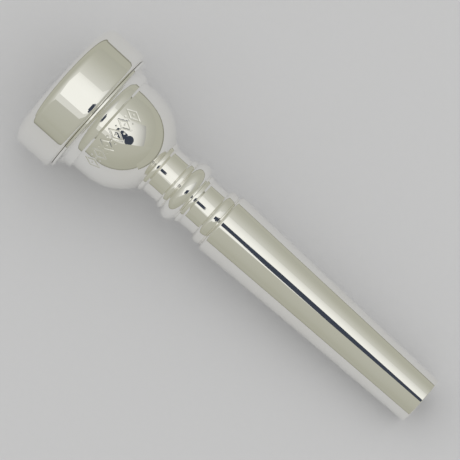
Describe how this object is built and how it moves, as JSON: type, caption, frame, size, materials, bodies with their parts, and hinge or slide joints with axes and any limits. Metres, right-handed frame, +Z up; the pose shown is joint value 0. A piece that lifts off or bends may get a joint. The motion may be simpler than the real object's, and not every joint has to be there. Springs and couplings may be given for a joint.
{
  "type": "trumpet mouthpiece",
  "caption": "Silver-plated brass trumpet mouthpiece that unscrews into rim, cup and backbore, with an O-ring at each joint and a standard tapered shank; it lies on its side.",
  "frame": {"origin": "centre of the bounding box in X and Y, on the surface that the mouthpiece lies on", "axes": "+Z up; the mouthpiece lies on its side with its rim towards -X and its shank towards +X, and its axis falls 6.12 degrees towards the shank, in the XZ plane"},
  "size_m": [0.0886, 0.0268, 0.0273],
  "materials": {
    "silver_plate": "mirror-polished silver plate over brass",
    "seal_rubber": "smooth black nitrile rubber"
  },
  "bodies": {
    "backbore_body": {"backbore": "silver_plate"},
    "backbore_seal_body": {"backbore_seal": "seal_rubber"},
    "cup_body": {"cup": "silver_plate"},
    "rim_seal_body": {"rim_seal": "seal_rubber"},
    "rim_body": {"rim": "silver_plate"}
  },
  "joints": [
    {"name": "cup_rise", "type": "slide", "parent": "backbore_body", "child": "backbore_seal_body", "axis": [-0.9943, 0, 0.1066], "range_m": [0, 0.00525]},
    {"name": "cup_turn", "type": "hinge", "parent": "backbore_seal_body", "child": "cup_body", "pos_m": [-0.02332, 0, 0.01204], "axis": [-0.9943, 0, 0.1066], "range_deg": [0, 2520]},
    {"name": "rim_rise", "type": "slide", "parent": "cup_body", "child": "rim_seal_body", "axis": [-0.9943, 0, 0.1066], "range_m": [0, 0.0045]},
    {"name": "rim_turn", "type": "hinge", "parent": "rim_seal_body", "child": "rim_body", "pos_m": [-0.03823, 0, 0.01363], "axis": [-0.9943, 0, 0.1066], "range_deg": [0, 1800]}
  ],
  "couplings": [
    {"joint": "cup_turn", "follows": "cup_rise", "rad_per_m": 8377.6},
    {"joint": "rim_turn", "follows": "rim_rise", "rad_per_m": 6981.3}
  ]
}
